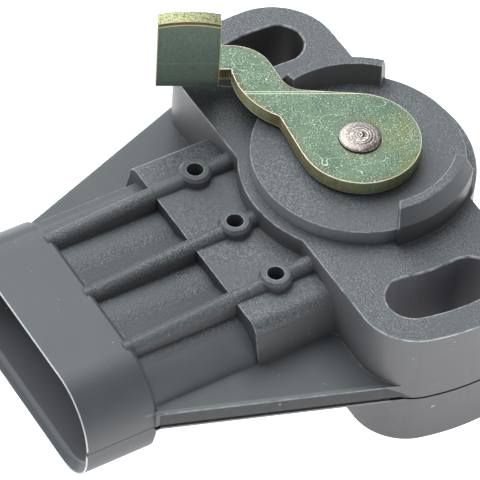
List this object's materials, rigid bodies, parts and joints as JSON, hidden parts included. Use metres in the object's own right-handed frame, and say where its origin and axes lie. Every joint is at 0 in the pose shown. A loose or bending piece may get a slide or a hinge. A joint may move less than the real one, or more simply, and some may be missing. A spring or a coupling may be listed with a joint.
{
  "type": "throttle position sensor",
  "caption": "Throttle position sensor: moulded housing with slotted ears and flat connector shell, ribbed neck and a plated steel lever on a spring-returned shaft.",
  "frame": {"origin": "on the shaft axis, in the rear plane of the housing", "axes": "+Z along the shaft towards the lever, -Y out of the connector's mouth, +X along the ears"},
  "size_m": [0.0498, 0.0525, 0.0281],
  "materials": {
    "housing": "moulded, fine spark-eroded grain",
    "rear_cover": "moulded, fine grain",
    "cover_seal": "matt",
    "terminals": "tin plated",
    "clips": "bright",
    "shaft_bush": "sintered",
    "shaft_seal": "matt",
    "thrust_washer": "natural",
    "spring_washer": "bright",
    "element_card": "laminate",
    "resistor_track": "printed",
    "collector_track": "printed",
    "return_spring": "bright",
    "shaft": "turned and spun",
    "lever": "yellow-green zinc chromate plated steel",
    "rotor": "moulded",
    "wiper_contact": "bright",
    "rotor_clip": "sprung"
  },
  "bodies": {
    "housing": {"housing": "housing", "rear_cover": "rear_cover", "cover_seal": "cover_seal", "terminal_supply": "terminals", "terminal_signal": "terminals", "terminal_ground": "terminals", "clip_supply": "clips", "clip_signal": "clips", "clip_ground": "clips", "shaft_bush": "shaft_bush", "shaft_seal": "shaft_seal", "thrust_washer": "thrust_washer", "spring_washer": "spring_washer", "element_card": "element_card", "resistor_track": "resistor_track", "collector_track": "collector_track", "return_spring": "return_spring"},
    "lever_group": {"shaft": "shaft", "lever": "lever", "rotor": "rotor", "wiper_contact": "wiper_contact", "rotor_clip": "rotor_clip"}
  },
  "joints": [
    {"name": "lever_turn", "type": "hinge", "parent": "housing", "child": "lever_group", "pos_m": [0, 0, 0.0178], "axis": [0, 0, 1], "range_deg": [0, 127], "stiffness_Nm_per_rad": 0.008, "springref_deg": -51.57}
  ]
}
